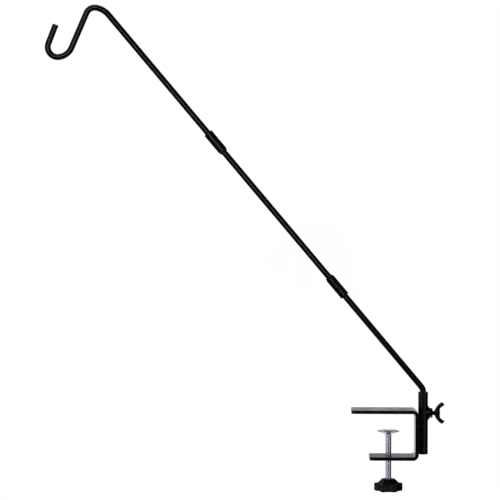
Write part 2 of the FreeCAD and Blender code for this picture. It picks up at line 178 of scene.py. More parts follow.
class RailHookFinishes(bpy.types.PropertyGroup):
    """Colours and gloss of the finishes."""
    coat_colour: FloatVectorProperty(
        name="Powder coat", description="Colour of the powder-coated steel",
        subtype="COLOR", default=srgb("#040408"), min=0, max=1)
    coat_roughness: FloatProperty(
        name="Powder coat roughness", description="Lower is glossier",
        subtype="FACTOR", default=0.18, min=0, max=1)
    plate_colour: FloatVectorProperty(
        name="Zinc plate", description="Colour of the bright zinc plating",
        subtype="COLOR", default=srgb("#D4D7DE"), min=0, max=1)
    plate_roughness: FloatProperty(
        name="Zinc plate roughness", description="Lower is brighter",
        subtype="FACTOR", default=0.2, min=0, max=1)
    screw_colour: FloatVectorProperty(
        name="Wing screw", description="Colour of the blackened wing screw",
        subtype="COLOR", default=srgb("#050508"), min=0, max=1)
    plastic_colour: FloatVectorProperty(
        name="Knob plastic", description="Colour of the moulded star knob",
        subtype="COLOR", default=srgb("#060609"), min=0, max=1)


class RailHookStudio(bpy.types.PropertyGroup):
    """Camera and floor."""
    camera_place: FloatVectorProperty(
        name="Camera", description="Where the camera stands",
        subtype="XYZ", unit="LENGTH", default=(-0.1007, -2.5, 0.2958))
    pan: FloatProperty(
        name="Pan", description="How far the camera looks to the right",
        subtype="ANGLE", default=math.radians(-1.82))
    tilt: FloatProperty(
        name="Tilt", description="How far the camera looks up",
        subtype="ANGLE", default=math.radians(-1.94))
    lens: FloatProperty(name="Lens", description="Focal length in millimetres", default=138.65)
    floor_drop: FloatProperty(
        name="Floor drop", description="From the knob's underside down to the floor",
        default=0.25, unit="LENGTH")


def add_node(tree, kind, inputs=(), **settings):
    """Adds a node, sets its properties, and sets or links its inputs by name or number."""
    node = tree.nodes.new(kind)
    for name, value in settings.items():
        setattr(node, name, value)
    for key, value in dict(inputs).items():
        if isinstance(value, bpy.types.NodeSocket):
            tree.links.new(value, node.inputs[key])
        else:
            node.inputs[key].default_value = value
    return node


def new_material(name):
    """An empty node material with its tree and object coordinates."""
    material = bpy.data.materials.new(name)
    material.use_nodes = True
    material.node_tree.nodes.clear()
    place = add_node(material.node_tree, "ShaderNodeTexCoord").outputs["Object"]
    return material, material.node_tree, place


def darker(colour, share):
    """A colour with only this share of its brightness, as the four numbers that a socket takes."""
    return [channel * share for channel in colour] + [1]


def powder_coat():
    """Black polyester powder coat, sprayed and baked: deep black, semi-gloss, soft orange peel."""
    finish = bpy.context.scene.rail_hook_finishes
    material, tree, place = new_material("black_powder_coat")
    # The baked film flows out unevenly, so its tone and gloss drift over about 14 mm
    drift = add_node(tree, "ShaderNodeTexNoise", {
        "Vector": place, "Scale": 1 / (14 * MM), "Detail": 3.0})
    tone = add_node(tree, "ShaderNodeMix", {
        "Factor": drift.outputs["Fac"], 6: darker(finish.coat_colour, 0.8),
        7: darker(finish.coat_colour, 1.25)}, data_type="RGBA")
    gloss = add_node(tree, "ShaderNodeMapRange", {
        "Value": drift.outputs["Fac"], "From Min": 0.3, "From Max": 0.7,
        "To Min": finish.coat_roughness - 0.05, "To Max": finish.coat_roughness + 0.05})
    # Orange peel: shallow dimples about 1.1 mm across
    peel = add_node(tree, "ShaderNodeTexNoise", {
        "Vector": place, "Scale": 1 / (1.1 * MM), "Detail": 1.0})
    bump = add_node(tree, "ShaderNodeBump", {
        "Height": peel.outputs["Fac"], "Strength": 0.25, "Distance": 0.06 * MM})
    skin = add_node(tree, "ShaderNodeBsdfPrincipled", {
        "Base Color": tone.outputs[2], "Roughness": gloss.outputs["Result"],
        "Normal": bump.outputs["Normal"], "IOR": 1.22})
    add_node(tree, "ShaderNodeOutputMaterial", {"Surface": skin.outputs["BSDF"]})
    return material


def zinc_plate():
    """Bright zinc plating on steel: a cool silver mirror, a little clouded by its chromate dip."""
    finish = bpy.context.scene.rail_hook_finishes
    material, tree, place = new_material("bright_zinc_plate")
    # The chromate film is thicker in some places, over about 5 mm
    film = add_node(tree, "ShaderNodeTexNoise", {
        "Vector": place, "Scale": 1 / (5 * MM), "Detail": 4.0})
    tone = add_node(tree, "ShaderNodeMix", {
        "Factor": film.outputs["Fac"], 6: darker(finish.plate_colour, 0.86),
        7: darker(finish.plate_colour, 1.06)}, data_type="RGBA")
    # Handling marks about 0.7 mm wide take some of the shine
    marks = add_node(tree, "ShaderNodeTexNoise", {
        "Vector": place, "Scale": 1 / (0.7 * MM), "Detail": 2.0})
    gloss = add_node(tree, "ShaderNodeMapRange", {
        "Value": marks.outputs["Fac"], "From Min": 0.3, "From Max": 0.7,
        "To Min": finish.plate_roughness - 0.05, "To Max": finish.plate_roughness + 0.08})
    bump = add_node(tree, "ShaderNodeBump", {
        "Height": marks.outputs["Fac"], "Strength": 0.12, "Distance": 0.02 * MM})
    # Painted shade: the pad's well round the spindle's upset end is painted dark, in place of the
    # shade and dark reflection in that recess
    pad_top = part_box("pressure_pad")[1].z
    sides = add_node(tree, "ShaderNodeSeparateXYZ", {"Vector": place}).outputs
    flat = add_node(tree, "ShaderNodeCombineXYZ", {"X": sides["X"], "Y": sides["Y"]})
    off_axis = add_node(tree, "ShaderNodeVectorMath", {0: flat.outputs["Vector"]}, operation="LENGTH")
    inside = add_node(tree, "ShaderNodeMapRange", {
        "Value": off_axis.outputs["Value"], "From Min": 6.1 * MM, "From Max": 5.7 * MM})
    above = add_node(tree, "ShaderNodeMapRange", {
        "Value": sides["Z"], "From Min": pad_top - 3.2 * MM, "From Max": pad_top - 2.9 * MM})
    painted_well_shade = add_node(tree, "ShaderNodeMath", {
        0: inside.outputs["Result"], 1: above.outputs["Result"]}, operation="MULTIPLY")
    # Mixes the painted shade's dark colour into the well
    tone = add_node(tree, "ShaderNodeMix", {
        "Factor": painted_well_shade.outputs[0], 6: tone.outputs[2], 7: srgb("#26262C") + [1]},
        data_type="RGBA")
    skin = add_node(tree, "ShaderNodeBsdfPrincipled", {
        "Base Color": tone.outputs[2], "Metallic": 1.0, "Roughness": gloss.outputs["Result"],
        "Normal": bump.outputs["Normal"]})
    add_node(tree, "ShaderNodeOutputMaterial", {"Surface": skin.outputs["BSDF"]})
    return material


def blackened_casting():
    """Cast wings with a thin black finish: near black, satin, with the grain of the mould."""
    finish = bpy.context.scene.rail_hook_finishes
    material, tree, place = new_material("blackened_casting")
    # Mould grain about 0.5 mm across, drawn at 0.8 mm so that it shows
    grain = add_node(tree, "ShaderNodeTexNoise", {
        "Vector": place, "Scale": 1 / (0.8 * MM), "Detail": 3.0})
    tone = add_node(tree, "ShaderNodeMix", {
        "Factor": grain.outputs["Fac"], 6: darker(finish.screw_colour, 0.7),
        7: darker(finish.screw_colour, 1.4)}, data_type="RGBA")
    gloss = add_node(tree, "ShaderNodeMapRange", {
        "Value": grain.outputs["Fac"], "To Min": 0.16, "To Max": 0.24})
    bump = add_node(tree, "ShaderNodeBump", {
        "Height": grain.outputs["Fac"], "Strength": 0.2, "Distance": 0.06 * MM})
    skin = add_node(tree, "ShaderNodeBsdfPrincipled", {
        "Base Color": tone.outputs[2], "Roughness": gloss.outputs["Result"],
        "Normal": bump.outputs["Normal"], "IOR": 1.16})
    add_node(tree, "ShaderNodeOutputMaterial", {"Surface": skin.outputs["BSDF"]})
    return material


def moulded_plastic():
    """Injection-moulded black nylon: satin, from a spark-eroded mould."""
    finish = bpy.context.scene.rail_hook_finishes
    material, tree, place = new_material("moulded_black_nylon")
    # Spark-eroded texture about 0.2 mm across, drawn at 0.6 mm so that it shows
    pits = add_node(tree, "ShaderNodeTexNoise", {
        "Vector": place, "Scale": 1 / (0.6 * MM), "Detail": 2.0})
    # Flow of the melt shifts the tone and gloss over about 9 mm
    flow = add_node(tree, "ShaderNodeTexNoise", {
        "Vector": place, "Scale": 1 / (9 * MM), "Detail": 2.0})
    tone = add_node(tree, "ShaderNodeMix", {
        "Factor": flow.outputs["Fac"], 6: darker(finish.plastic_colour, 0.8),
        7: darker(finish.plastic_colour, 1.3)}, data_type="RGBA")
    gloss = add_node(tree, "ShaderNodeMapRange", {
        "Value": flow.outputs["Fac"], "To Min": 0.18, "To Max": 0.28})
    bump = add_node(tree, "ShaderNodeBump", {
        "Height": pits.outputs["Fac"], "Strength": 0.2, "Distance": 0.03 * MM})
    skin = add_node(tree, "ShaderNodeBsdfPrincipled", {
        "Base Color": tone.outputs[2], "Roughness": gloss.outputs["Result"],
        "Normal": bump.outputs["Normal"], "IOR": 1.25})
    add_node(tree, "ShaderNodeOutputMaterial", {"Surface": skin.outputs["BSDF"]})
    return material


def turned_steel():
    """Bare turned steel: grey, with the rings that the tool left about 0.3 mm apart."""
    material, tree, place = new_material("turned_steel")
    rings = add_node(tree, "ShaderNodeTexWave", {
        "Vector": place, "Scale": 1 / (6 * MM), "Distortion": 0.4},
        wave_type="RINGS", rings_direction="Z")
    gloss = add_node(tree, "ShaderNodeMapRange", {
        "Value": rings.outputs["Fac"], "To Min": 0.3, "To Max": 0.42})
    skin = add_node(tree, "ShaderNodeBsdfPrincipled", {
        "Base Color": srgb("#A5A7A9") + [1], "Metallic": 1.0, "Roughness": gloss.outputs["Result"]})
    add_node(tree, "ShaderNodeOutputMaterial", {"Surface": skin.outputs["BSDF"]})
    return material


FINISHES = {
    "powder_coat": powder_coat,
    "plated_steel": zinc_plate,
    "black_zinc": blackened_casting,
    "knob_plastic": moulded_plastic,
    "insert_steel": turned_steel,
}
made_finishes = {}


def slot_of(node):
    """The record's material slot of a node."""
    return next(s["material_slot"] for s in frame["record"]["subparts"] if s["node"] == node)


def give_finish(piece, slot):
    """Gives a piece the finish of a record slot, which is made once."""
    if slot not in made_finishes:
        made_finishes[slot] = FINISHES[slot]()
    piece.data.materials.clear()
    piece.data.materials.append(made_finishes[slot])


def select_only(active, *others):
    """Selects these pieces and no others."""
    bpy.ops.object.select_all(action="DESELECT")
    for piece in (active, *others):
        piece.select_set(True)
    bpy.context.view_layer.objects.active = active


def draw_line(name, profile):
    """A new piece in edit mode: a line through (radius, height) pairs of the XZ plane."""
    points = [Vector((radius, 0, height)) for radius, height in profile]
    bpy.ops.object.select_all(action="DESELECT")
    bpy.ops.mesh.primitive_plane_add(size=MM)
    piece = bpy.context.active_object
    piece.name = piece.data.name = name
    bpy.ops.object.mode_set(mode="EDIT")
    bpy.ops.mesh.select_all(action="SELECT")
    bpy.ops.mesh.merge(type="COLLAPSE")
    bpy.ops.transform.translate(value=points[0])
    for before, after in zip(points, points[1:]):
        bpy.ops.mesh.extrude_region_move(TRANSFORM_OT_translate={"value": after - before})
    return piece


def close_seams():
    """In edit mode: merges doubled points and turns all faces outwards."""
    bpy.ops.mesh.select_all(action="SELECT")
    bpy.ops.mesh.remove_doubles(threshold=SAME_PLACE)
    bpy.ops.mesh.normals_make_consistent(inside=False)


def turn_profile(name, profile):
    """A closed piece turned about Z from (radius, height) pairs.

    They start and end on the axis, or at one and the same point.
    """
    piece = draw_line(name, profile)
    bpy.ops.mesh.select_all(action="SELECT")
    bpy.ops.mesh.spin(steps=LATHE_STEPS, angle=2 * math.pi, center=(0, 0, 0), axis=(0, 0, 1))
    close_seams()
    bpy.ops.object.mode_set(mode="OBJECT")
    return piece


def arc(centre, radius, start, end, points):
    """(radius, height) pairs along an arc, from one angle to another in degrees."""
    turns = [math.radians(start + (end - start) * i / (points - 1)) for i in range(points)]
    return [(centre[0] + radius * math.cos(t), centre[1] + radius * math.sin(t)) for t in turns]


def bowed(start, end, bow, points):
    """(x, z) pairs along a shallow curve whose middle stands off to the left by bow."""
    along = Vector(end) - Vector(start)
    left = Vector((-along.y, along.x)).normalized()
    shares = [i / (points - 1) for i in range(points)]
    return [tuple(Vector(start) + along * t + left * (4 * bow * t * (1 - t))) for t in shares]


def cut_plate(name, outline, thickness, rounding):
    """A closed plate about the XZ plane with an outline of (x, z) pairs and rounded edges."""
    plate = draw_line(name, outline + outline[:1])
    bpy.ops.mesh.select_all(action="SELECT")
    bpy.ops.mesh.remove_doubles(threshold=SAME_PLACE)
    bpy.ops.transform.translate(value=(0, -thickness / 2, 0))
    bpy.ops.mesh.edge_face_add()
    bpy.ops.mesh.extrude_region_move(TRANSFORM_OT_translate={"value": (0, thickness, 0)})
    close_seams()
    bpy.ops.object.mode_set(mode="OBJECT")
    round_edges(plate, rounding, segments=4, angle=40)
    return plate


def lay_ripple(name, half_sizes, place, lean):
    """One ripple of a weld bead: a flattened drop that leans back by an angle in degrees."""
    bpy.ops.object.select_all(action="DESELECT")
    bpy.ops.mesh.primitive_uv_sphere_add(segments=20, ring_count=12, radius=1)
    ripple = bpy.context.active_object
    ripple.name = ripple.data.name = name
    settle(ripple, Matrix.Translation(place) @ Matrix.Rotation(math.radians(lean), 4, "X")
           @ Matrix.Diagonal((*half_sizes, 1)))
    return ripple


def cut_thread(name, crest_radius, pitch, length):
    """A closed right-hand thread that stands on the origin, with a run-out of one turn at each end."""
    depth = THREAD_DEPTH * pitch
    flank = (1 - ROOT_FLAT - CREST_FLAT) / 2 * pitch
    root = crest_radius - depth
    rises = [0, ROOT_FLAT * pitch, flank, CREST_FLAT * pitch, flank]
    radii = [root, root, crest_radius, crest_radius, root]
    profile = []
    # The helix starts two turns low and ends past the top, and both ends are then cut flat
    height = -2 * pitch
    for rise, radius in zip(rises, radii):
        height += rise
        profile.append((radius, height))
    thread = draw_line(name, profile)
    bpy.ops.object.mode_set(mode="OBJECT")
    screw = thread.modifiers.new("screw", "SCREW")
    screw.axis = "Z"
    screw.screw_offset = pitch
    screw.iterations = math.ceil(length / pitch) + 3
    screw.steps = screw.render_steps = THREAD_STEPS
    bpy.ops.object.modifier_apply(modifier=screw.name)
    for point in thread.data.vertices:
        share = max(0, min(1, point.co.z / pitch, (length - point.co.z) / pitch))
        radius = point.co.xy.length
        point.co.xy *= (root + (radius - root) * share) / radius
    bpy.ops.object.mode_set(mode="EDIT")
    close_seams()
    bpy.ops.mesh.bisect(
        plane_co=(0, 0, 0), plane_no=(0, 0, 1), use_fill=True, clear_inner=True)
    bpy.ops.mesh.select_all(action="SELECT")
    bpy.ops.mesh.bisect(
        plane_co=(0, 0, length), plane_no=(0, 0, 1), use_fill=True, clear_outer=True)
    close_seams()
    bpy.ops.object.mode_set(mode="OBJECT")
    return thread


def settle(piece, place):
    """Puts a piece's place into its mesh, so that its object stays at the origin."""
    piece.data.transform(place)
    piece.data.update()


def join(whole, *others):
    """Makes several pieces one."""
    select_only(whole, *others)
    bpy.ops.object.join()
    return whole


def round_edges(piece, width, segments, angle):
    """Rounds the edges that are sharper than an angle in degrees."""
    bpy.context.view_layer.objects.active = piece
    bevel = piece.modifiers.new("round", "BEVEL")
    bevel.width = width
    bevel.segments = segments
    bevel.limit_method = "ANGLE"
    bevel.angle_limit = math.radians(angle)
    bpy.ops.object.modifier_apply(modifier=bevel.name)


def copy_node(node, name):
    """A new piece with a node's shape, its triangles merged into whole flat faces."""
    piece = bpy.data.objects.new(name, frame["nodes"][node].data.copy())
    piece.data.name = name
    bpy.context.scene.collection.objects.link(piece)
    select_only(piece)
    bpy.ops.mesh.customdata_custom_splitnormals_clear()
    bpy.ops.object.mode_set(mode="EDIT")
    close_seams()
    bpy.ops.mesh.dissolve_limited(angle_limit=math.radians(1))
    bpy.ops.object.mode_set(mode="OBJECT")
    return piece


def fit_piece(piece, node, smooth_angle):
    """Smooths a finished piece, gives it its finish, and lets it stand for a node on its body."""
    select_only(piece)
    bpy.ops.object.shade_smooth_by_angle(angle=math.radians(smooth_angle))
    slot = slot_of(node)
    give_finish(piece, slot)
    for polygon in piece.data.polygons:
        polygon.material_index = 0
    bodies = frame["record"]["behaviour"]["bodies"]
    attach(piece, next(body for body, members in bodies.items() if node in members))
    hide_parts(node)


class RAILHOOK_OT_steelwork(bpy.types.Operator):
    """Give the pieces that keep their shape their finish: clamp, sleeve, rods, couplers and insert"""
    bl_idname = "railhook.steelwork"
    bl_label = "Steelwork"

    def execute(self, context):
        for node in ("clamp_bracket", "sleeve_tube", "lower_pole", "middle_pole", "hook_pole",
                     "lower_coupler", "upper_coupler", "knob_insert"):
            give_finish(frame["nodes"][node], slot_of(node))
        return {"FINISHED"}


class RAILHOOK_OT_spindle(bpy.types.Operator):
    """Model the plated spindle with its rolled thread, shoulder, neck and upset head"""
    bl_idname = "railhook.spindle"
    bl_label = "Clamp spindle"

    def execute(self, context):
        sizes = context.scene.rail_hook_sizes
        low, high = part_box("clamp_spindle")
        pad_low, pad_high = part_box("pressure_pad")
        crest = 3.97 * MM
        chamfer = 0.5 * MM
        overlap = 0.6 * MM
        shoulder = pad_low.z - 0.08 * MM
        collar = shoulder - 1.8 * MM
        neck = 2.9 * MM
        head = high.x
        well = pad_high.z - 2.82 * MM
        dome_edge = well + 0.3 * MM
        dome_top = well + 0.8 * MM
        thread = cut_thread(
            "threaded_spindle", crest, sizes.spindle_pitch, collar - low.z + overlap)
        settle(thread, Matrix.Translation((0, 0, low.z)))
        dome = [(head * math.cos(t), dome_edge + (dome_top - dome_edge) * math.sin(t))
                for t in (math.radians(90 * i / 7) for i in range(8))]
        end = turn_profile("spindle_head", [
            (0, collar), (crest - chamfer, collar), (crest, collar + chamfer), (crest, shoulder),
            (neck, shoulder), (neck, well), (head, well), *dome[:-1], (0, dome_top)])
        fit_piece(join(thread, end), "clamp_spindle", smooth_angle=28)
        return {"FINISHED"}


class RAILHOOK_OT_pad(bpy.types.Operator):
    """Model the flared dish that bears on the rail's underside"""
    bl_idname = "railhook.pad"
    bl_label = "Pressure pad"

    def execute(self, context):
        low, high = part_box("pressure_pad")
        rim = high.x
        lip = 0.45 * MM
        bore = 2.98 * MM
        foot = 4.7 * MM
        chamfer = 0.3 * MM
        fall = 0.25 * MM
        well_radius = 5.7 * MM
        well = high.z - 2.9 * MM
        dish = high.z - 0.6 * MM
        face = rim - 3.0 * MM
        flare_foot = low.z + chamfer
        flare_height = high.z - 2 * lip - flare_foot
        flare = [(foot + (rim - lip - foot) * t, flare_foot + flare_height * t ** 0.92)
                 for t in (i / 10 for i in range(10))]
        pad = turn_profile("dished_pad", [
            (bore, well), (bore, low.z), (foot - chamfer, low.z), *flare,
            *arc((rim - lip, high.z - lip), lip, -90, 90, 9),
            (face, high.z), (face - 0.6 * MM, high.z - fall), (well_radius + chamfer, dish),
            (well_radius, dish - fall), (well_radius, well), (bore, well)])
        fit_piece(pad, "pressure_pad", smooth_angle=40)
        return {"FINISHED"}


class RAILHOOK_OT_knob(bpy.types.Operator):
    """Model the moulded star knob with its raised hub"""
    bl_idname = "railhook.knob"
    bl_label = "Star knob"

    def star_radius(self, turn, sizes, outer):
        """The star's radius at an angle: lobes and valleys are arcs that run into each other."""
        step = 2 * math.pi / sizes.knob_lobes
        off_lobe = abs((turn + step / 2) % step - step / 2)
        off_valley = step / 2 - off_lobe
        lobe_ring = outer - sizes.knob_lobe_radius
        reach = sizes.knob_lobe_radius + sizes.knob_valley_radius
        across = lobe_ring * math.sin(step / 2)
        valley_ring = lobe_ring * math.cos(step / 2) + math.sqrt(reach ** 2 - across ** 2)
        meet = Vector((lobe_ring, 0)).lerp(
            Vector((valley_ring * math.cos(step / 2), valley_ring * math.sin(step / 2))),
            sizes.knob_lobe_radius / reach)
        if off_lobe <= math.atan2(meet.y, meet.x):
            return lobe_ring * math.cos(off_lobe) + math.sqrt(
                sizes.knob_lobe_radius ** 2 - (lobe_ring * math.sin(off_lobe)) ** 2)
        return valley_ring * math.cos(off_valley) - math.sqrt(
            sizes.knob_valley_radius ** 2 - (valley_ring * math.sin(off_valley)) ** 2)

    def execute(self, context):
        sizes = context.scene.rail_hook_sizes
        low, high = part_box("star_knob")
        lobe_top = high.z - 5.2 * MM
        bpy.ops.object.select_all(action="DESELECT")
        bpy.ops.mesh.primitive_circle_add(
            vertices=24 * sizes.knob_lobes, radius=high.x, fill_type="NGON",
            location=(0, 0, low.z))
        star = context.active_object
        star.name = star.data.name = "moulded_star_knob"
        bpy.ops.object.transform_apply()
        for point in star.data.vertices:
            turn = math.atan2(point.co.y, point.co.x)
            radius = self.star_radius(turn, sizes, high.x)
            point.co.xy = Vector((math.cos(turn), math.sin(turn))) * radius
        bpy.ops.object.mode_set(mode="EDIT")
        bpy.ops.mesh.select_all(action="SELECT")
        bpy.ops.mesh.extrude_region_move(
            TRANSFORM_OT_translate={"value": (0, 0, lobe_top - low.z)})
        close_seams()
        bpy.ops.object.mode_set(mode="OBJECT")
        round_edges(star, sizes.knob_round, segments=5, angle=60)
        foot = 13.0 * MM
        root = lobe_top - 2.5 * MM
        blend = 1.4 * MM
        shoulder = 0.9 * MM
        shoulder_ring = 8.1 * MM
        mouth = 5.9 * MM
        chamfer = 0.5 * MM
        bore = 4.3 * MM
        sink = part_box("knob_insert")[1].z - 0.1 * MM
        hub = turn_profile("knob_hub", [
            (bore, sink - 2 * MM), (foot, root), (foot + blend, root),
            (foot + blend, lobe_top - 0.3 * MM),
            (foot + 0.25 * blend, lobe_top + 0.3 * blend), (foot - 0.4 * blend, lobe_top + blend),
            *arc((shoulder_ring, high.z - shoulder), shoulder, 40, 90, 5),
            (mouth + chamfer, high.z), (mouth, high.z - chamfer), (mouth, sink), (bore, sink),
            (bore, sink - 2 * MM)])
        fit_piece(join(star, hub), "star_knob", smooth_angle=32)
        return {"FINISHED"}


class RAILHOOK_OT_wing_screw(bpy.types.Operator):
    """Model the wing screw: its threaded stud and its rounded wings"""
    bl_idname = "railhook.wing_screw"
    bl_label = "Wing screw"

    def execute(self, context):
        sizes = context.scene.rail_hook_sizes
        along_x = Matrix.Rotation(math.radians(90), 4, "Y")
        low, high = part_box("wing_stud")
        crest = (high.z - low.z) / 2 - 0.03 * MM
        stud = cut_thread("threaded_stud", crest, sizes.stud_pitch, high.x - low.x)
        settle(stud, Matrix.Translation((low.x, 0, (low.z + high.z) / 2)) @ along_x)
        fit_piece(stud, "wing_stud", smooth_angle=28)
        low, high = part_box("wing_head")
        base = Matrix.Translation((low.x, 0, (low.z + high.z) / 2))
        wings = self.cast_wings(
            sizes, base, along_x, high.y, (high.z - low.z) / 2, high.x - low.x)
        fit_piece(wings, "wing_head", smooth_angle=40)
        return {"FINISHED"}

    def cast_wings(self, sizes, base, along_x, hub_radius, reach, length):
        """A round hub on the stud, and on each side a thick curved arm with a thinner web."""
        seat = 3.06 * MM
        seat_depth = 5.05 * MM
        front = 6.4 * MM
        rim = 1.6 * MM
        collar = 1.4 * MM
        wall = 0.2 * MM
        hub = turn_profile("cast_wings", [
            (0, seat_depth), (seat, seat_depth), (seat, -collar), (seat + wall, -collar),
            (hub_radius - wall, 0.1 * front), (hub_radius, 0.4 * front),
            *arc((hub_radius - rim, front - rim), rim, 0, 90, 7), (0, front)])
        settle(hub, base @ along_x)
        foot = seat + wall
        lean = math.radians(44)
        tip_width = 5.2 * MM
        tip_outer = (length - tip_width * math.sin(lean), reach)
        tip_inner = (length, reach - tip_width * math.cos(lean))
        web_corner = (front, 5.9 * MM)
        arm_outline = [
            *bowed((-0.6 * MM, foot), tip_outer, 1.4 * MM, 15),
            *bowed(tip_inner, web_corner, -0.4 * MM, 9), (3.6 * MM, foot)]
        web_outline = [(0.8 * MM, foot), (4.0 * MM, 7.0 * MM), web_corner, (front, foot)]
        parts = [hub]
        for side in (1, -1):
            arm = cut_plate("wing_arm", arm_outline, sizes.wing_thickness, sizes.wing_round)
            web = cut_plate("wing_web", web_outline, 0.6 * sizes.wing_thickness, 0.4 * MM)
            for part in (arm, web):
                settle(part, base @ Matrix.Diagonal((1, 1, side, 1)))
                parts.append(part)
        wings = join(*parts)
        bpy.ops.object.mode_set(mode="EDIT")
        close_seams()
        bpy.ops.object.mode_set(mode="OBJECT")
        return wings


class RAILHOOK_OT_weld_nut(bpy.types.Operator):
    """Model the hex weld nut with softened edges"""
    bl_idname = "railhook.weld_nut"
    bl_label = "Weld nut"

    def execute(self, context):
        nut = copy_node("set_screw_nut", "hex_weld_nut")
        round_edges(nut, 0.35 * MM, segments=3, angle=40)
        fit_piece(nut, "set_screw_nut", smooth_angle=40)
        return {"FINISHED"}


class RAILHOOK_OT_weld_beads(bpy.types.Operator):
    """Model the weld beads on the sleeve, the nut and the couplers"""
    bl_idname = "railhook.weld_beads"
    bl_label = "Weld beads"

    def execute(self, context):
        spacing = context.scene.rail_hook_sizes.ripple_spacing
        self.run_sleeve_bead("sleeve_weld_front", -1, spacing)
        self.run_sleeve_bead("sleeve_weld_rear", 1, spacing)
        lower, upper = (
            sum(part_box(node), Vector()) / 2 for node in ("lower_coupler", "upper_coupler"))
        along = (upper - lower).normalized()
        self.run_coupler_bead("lower_coupler_weld", lower, along, spacing)
        self.run_coupler_bead("upper_coupler_weld", upper, -along, spacing)
        self.run_nut_bead()
        return {"FINISHED"}

    def run_sleeve_bead(self, node, side, spacing):
        """A straight bead of ripples up the groove between sleeve and clamp."""
        low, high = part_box(node)
        half = Vector((2.1 * MM, 2.2 * MM, 1.5 * MM))
        outside = max(abs(low.y), abs(high.y)) - 0.2 * MM
        groove = Vector((low.x + 1.5 * MM, side * (outside - half.y), low.z + half.z))
        bead = lay_ripple("rippled_" + node, half, groove, side * 24)
        repeat = bead.modifiers.new("ripples", "ARRAY")
        repeat.use_relative_offset = False
        repeat.use_constant_offset = True
        repeat.constant_offset_displace = (0, 0, spacing)
        repeat.count = int((high.z - low.z - 2 * half.z) / spacing) + 1
        bpy.ops.object.modifier_apply(modifier=repeat.name)
        fit_piece(bead, node, smooth_angle=60)

    def run_coupler_bead(self, node, middle, along, spacing):
        """A ring of ripples where a coupler ends on the rod."""
        ring_radius = 4.3 * MM
        half_coupler = 15.0 * MM
        half = (1.15 * MM, 1.35 * MM, 1.9 * MM)
        seam = middle + along * (half_coupler + 0.9 * MM)
        bead = lay_ripple("rippled_" + node, half, (ring_radius, 0, 0), 18)
        bpy.ops.object.mode_set(mode="EDIT")
        bpy.ops.mesh.select_all(action="SELECT")
        bpy.ops.mesh.spin(
            steps=round(2 * math.pi * ring_radius / spacing), dupli=True, angle=2 * math.pi,
            center=(0, 0, 0), axis=(0, 0, 1))
        close_seams()
        bpy.ops.object.mode_set(mode="OBJECT")
        turned = along.to_track_quat("Z", "Y").to_matrix().to_4x4()
        settle(bead, Matrix.Translation(seam) @ turned)
        fit_piece(bead, node, smooth_angle=60)

    def run_nut_bead(self):
        """Two smooth hollow fillets, above and below the nut, that run out on the sleeve."""
        low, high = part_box("nut_weld")
        axis = (low.z + high.z) / 2
        reach = (high.z - low.z) / 2
        nut = 6.3 * MM
        inner = nut - 0.8 * MM
        tube = 51.2 * MM
        inside = 49.5 * MM
        rise = high.x - tube
        half_turn = math.radians(40)
        hollow = [(nut + (reach - nut) * math.cos(t) ** 2.6, tube + rise * math.sin(t) ** 2.6)
                  for t in (math.radians(90 * i / 12) for i in range(13))]
        outline = [(inner, inside), (reach, inside), *hollow, (inner, tube + rise)]
        beads = []
        for side in (1, -1):
            bead = draw_line("smooth_nut_weld", outline + outline[:1])
            bpy.ops.mesh.select_all(action="SELECT")
            bpy.ops.mesh.spin(steps=24, angle=2 * half_turn, center=(0, 0, 0), axis=(0, 0, 1))
            bpy.ops.mesh.select_all(action="SELECT")
            bpy.ops.mesh.remove_doubles(threshold=SAME_PLACE)
            bpy.ops.mesh.fill_holes(sides=0)
            close_seams()
            bpy.ops.object.mode_set(mode="OBJECT")
            # The fillet is turned to face X, and thins out towards both ends of its arc
            middle = sum((point.co for point in bead.data.vertices), Vector())
            settle(bead, Matrix.Rotation(-math.atan2(middle.y, middle.x), 4, "Z"))
            for point in bead.data.vertices:
                turn = math.atan2(point.co.y, point.co.x)
                share = math.sqrt(max(0, 1 - (turn / (1.06 * half_turn)) ** 2))
                radius = point.co.xy.length
                point.co.xy *= (inner + (radius - inner) * share) / radius
                point.co.z = inside + (point.co.z - inside) * (0.3 + 0.7 * share)
            settle(bead, Matrix(
                ((0, 0, 1, 0), (0, -side, 0, 0), (side, 0, 0, axis), (0, 0, 0, 1))))
            beads.append(bead)
        bead = join(*beads)
        bpy.ops.object.mode_set(mode="EDIT")
        close_seams()
        bpy.ops.object.mode_set(mode="OBJECT")
        fit_piece(bead, "nut_weld", smooth_angle=50)


